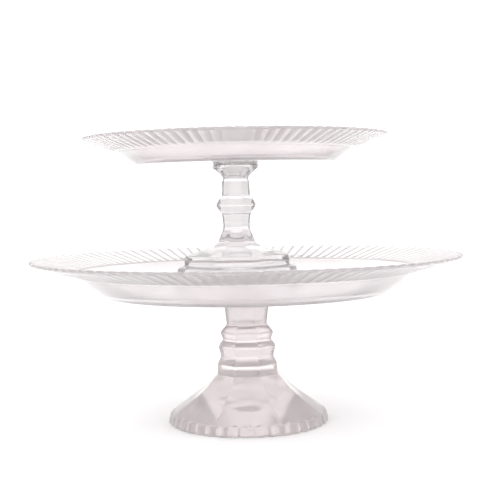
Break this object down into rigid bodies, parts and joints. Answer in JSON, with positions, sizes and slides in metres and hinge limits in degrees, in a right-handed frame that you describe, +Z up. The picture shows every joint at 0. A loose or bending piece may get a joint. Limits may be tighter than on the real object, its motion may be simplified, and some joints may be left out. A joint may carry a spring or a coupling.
{
  "type": "tiered cake stand",
  "caption": "Pressed-glass cake stand: a large fluted plate on a faceted pedestal, with a smaller plate on a slim faceted stem that stands loose in its well.",
  "frame": {"origin": "on the table, under the centre of the lower foot and of the lower plate", "axes": "+Z up along the lower candlestick's axis; -Y is the front, which a flat side of each candlestick faces; the upper tier stands 6.5 mm towards -X"},
  "size_m": [0.33, 0.33, 0.221],
  "materials": {
    "tinted_glass": "glossy pressed glass with a faint rose tint",
    "plate_glass": "glossy pressed glass with a faint rose tint, fluted flange",
    "clear_glass": "glossy clear pressed glass",
    "clear_adhesive": "clear cured adhesive, satin"
  },
  "bodies": {
    "lower_stand": {"lower_candlestick": "tinted_glass", "lower_adhesive_ring": "clear_adhesive", "lower_plate": "plate_glass"},
    "upper_stand": {"upper_candlestick": "clear_glass", "upper_adhesive_ring": "clear_adhesive", "upper_plate": "plate_glass"}
  },
  "joints": [
    {"name": "upper_stand_lift", "type": "slide", "parent": "lower_stand", "child": "upper_stand", "axis": [0, 0, 1], "range_m": [0, 0.06]}
  ]
}
